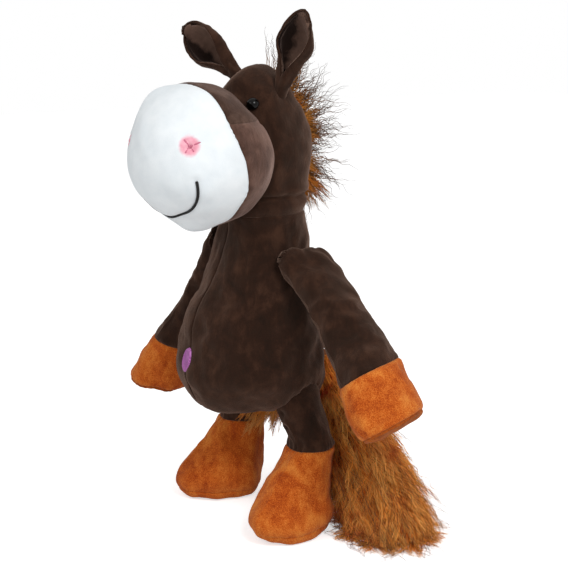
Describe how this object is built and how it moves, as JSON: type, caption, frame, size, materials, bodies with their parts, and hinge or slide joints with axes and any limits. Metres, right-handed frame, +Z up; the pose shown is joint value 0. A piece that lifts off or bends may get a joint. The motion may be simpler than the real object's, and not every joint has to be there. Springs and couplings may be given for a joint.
{
  "type": "plush horse",
  "caption": "Standing stuffed plush horse with a round muzzle, two-tone hoof mittens, and a faux-fur mane and tail; neck, ears, arms, legs and tail flex at their seams.",
  "frame": {"origin": "centre of the bounding box's footprint, on the floor that the hooves stand on", "axes": "+Z up, the horse faces -Y, its own left side is +X"},
  "size_m": [0.2314, 0.1564, 0.3081],
  "materials": {
    "brown_plush": "short-pile plush",
    "brown_lining": "short-pile plush, lighter with the pile brushed back",
    "white_plush": "short-pile plush",
    "orange_plush": "short-pile plush",
    "rust_fur": "long-pile faux fur",
    "backing": "woven backing",
    "pink_thread": "airbrushed and stitched",
    "black_thread": "satin stitch",
    "purple_thread": "satin stitch",
    "filling": "polyester fibre filling",
    "eye_plastic": "polished",
    "washer_plastic": "as moulded"
  },
  "bodies": {
    "torso": {"torso_left_skin": "brown_plush", "torso_right_skin": "brown_plush", "torso_filling": "filling", "navel_embroidery": "purple_thread"},
    "head": {"head_left_skin": "brown_plush", "head_right_skin": "brown_plush", "head_filling": "filling", "muzzle_front": "white_plush", "muzzle_bridge": "brown_plush", "muzzle_cheeks": "brown_lining", "muzzle_filling": "filling", "smile_embroidery": "black_thread", "mane_tape": "backing", "mane_fur": "rust_fur", "left_eye": "eye_plastic", "right_eye": "eye_plastic", "left_eye_washer": "washer_plastic", "right_eye_washer": "washer_plastic", "left_nostril": "pink_thread", "right_nostril": "pink_thread"},
    "tail": {"tail_core": "backing", "tail_fur": "rust_fur"},
    "left_ear": {"left_ear_back": "brown_plush", "left_ear_lining": "brown_lining"},
    "left_arm": {"left_arm_sleeve": "brown_plush", "left_hand_hoof": "orange_plush", "left_hand_sole": "orange_plush", "left_arm_filling": "filling"},
    "left_leg": {"left_leg_sleeve": "brown_plush", "left_foot_hoof": "orange_plush", "left_foot_sole": "orange_plush", "left_leg_filling": "filling"},
    "right_ear": {"right_ear_back": "brown_plush", "right_ear_lining": "brown_lining"},
    "right_arm": {"right_arm_sleeve": "brown_plush", "right_hand_hoof": "orange_plush", "right_hand_sole": "orange_plush", "right_arm_filling": "filling"},
    "right_leg": {"right_leg_sleeve": "brown_plush", "right_foot_hoof": "orange_plush", "right_foot_sole": "orange_plush", "right_leg_filling": "filling"}
  },
  "joints": [
    {"name": "neck_turn", "type": "hinge", "parent": "torso", "child": "head", "pos_m": [-0.01097, 0.00673, 0.19], "axis": [0, 0, 1], "range_deg": [-40, 40]},
    {"name": "left_ear_flop", "type": "hinge", "parent": "head", "child": "left_ear", "pos_m": [0.00817, 0.01285, 0.263], "axis": [-0.2079, 0.9781, 0], "range_deg": [-4, 60]},
    {"name": "right_ear_flop", "type": "hinge", "parent": "head", "child": "right_ear", "pos_m": [-0.03095, 0.00453, 0.268], "axis": [-0.2079, 0.9781, 0], "range_deg": [-25, 39]},
    {"name": "left_shoulder_swing", "type": "hinge", "parent": "torso", "child": "left_arm", "pos_m": [0.01683, 0.01673, 0.16], "axis": [1, 0, 0], "range_deg": [-92, 58]},
    {"name": "right_shoulder_swing", "type": "hinge", "parent": "torso", "child": "right_arm", "pos_m": [-0.03877, 0.01673, 0.16], "axis": [1, 0, 0], "range_deg": [-73, 77]},
    {"name": "left_hip_swing", "type": "hinge", "parent": "torso", "child": "left_leg", "pos_m": [0.01753, 0.01573, 0.078], "axis": [0.7071, 0.7071, 0], "range_deg": [-30, 0]},
    {"name": "right_hip_swing", "type": "hinge", "parent": "torso", "child": "right_leg", "pos_m": [-0.03947, 0.01573, 0.078], "axis": [0.7071, -0.7071, 0], "range_deg": [-30, 30]},
    {"name": "tail_swing", "type": "hinge", "parent": "torso", "child": "tail", "pos_m": [-0.01097, 0.05353, 0.093], "axis": [0, 0, 1], "range_deg": [0, 150]}
  ]
}
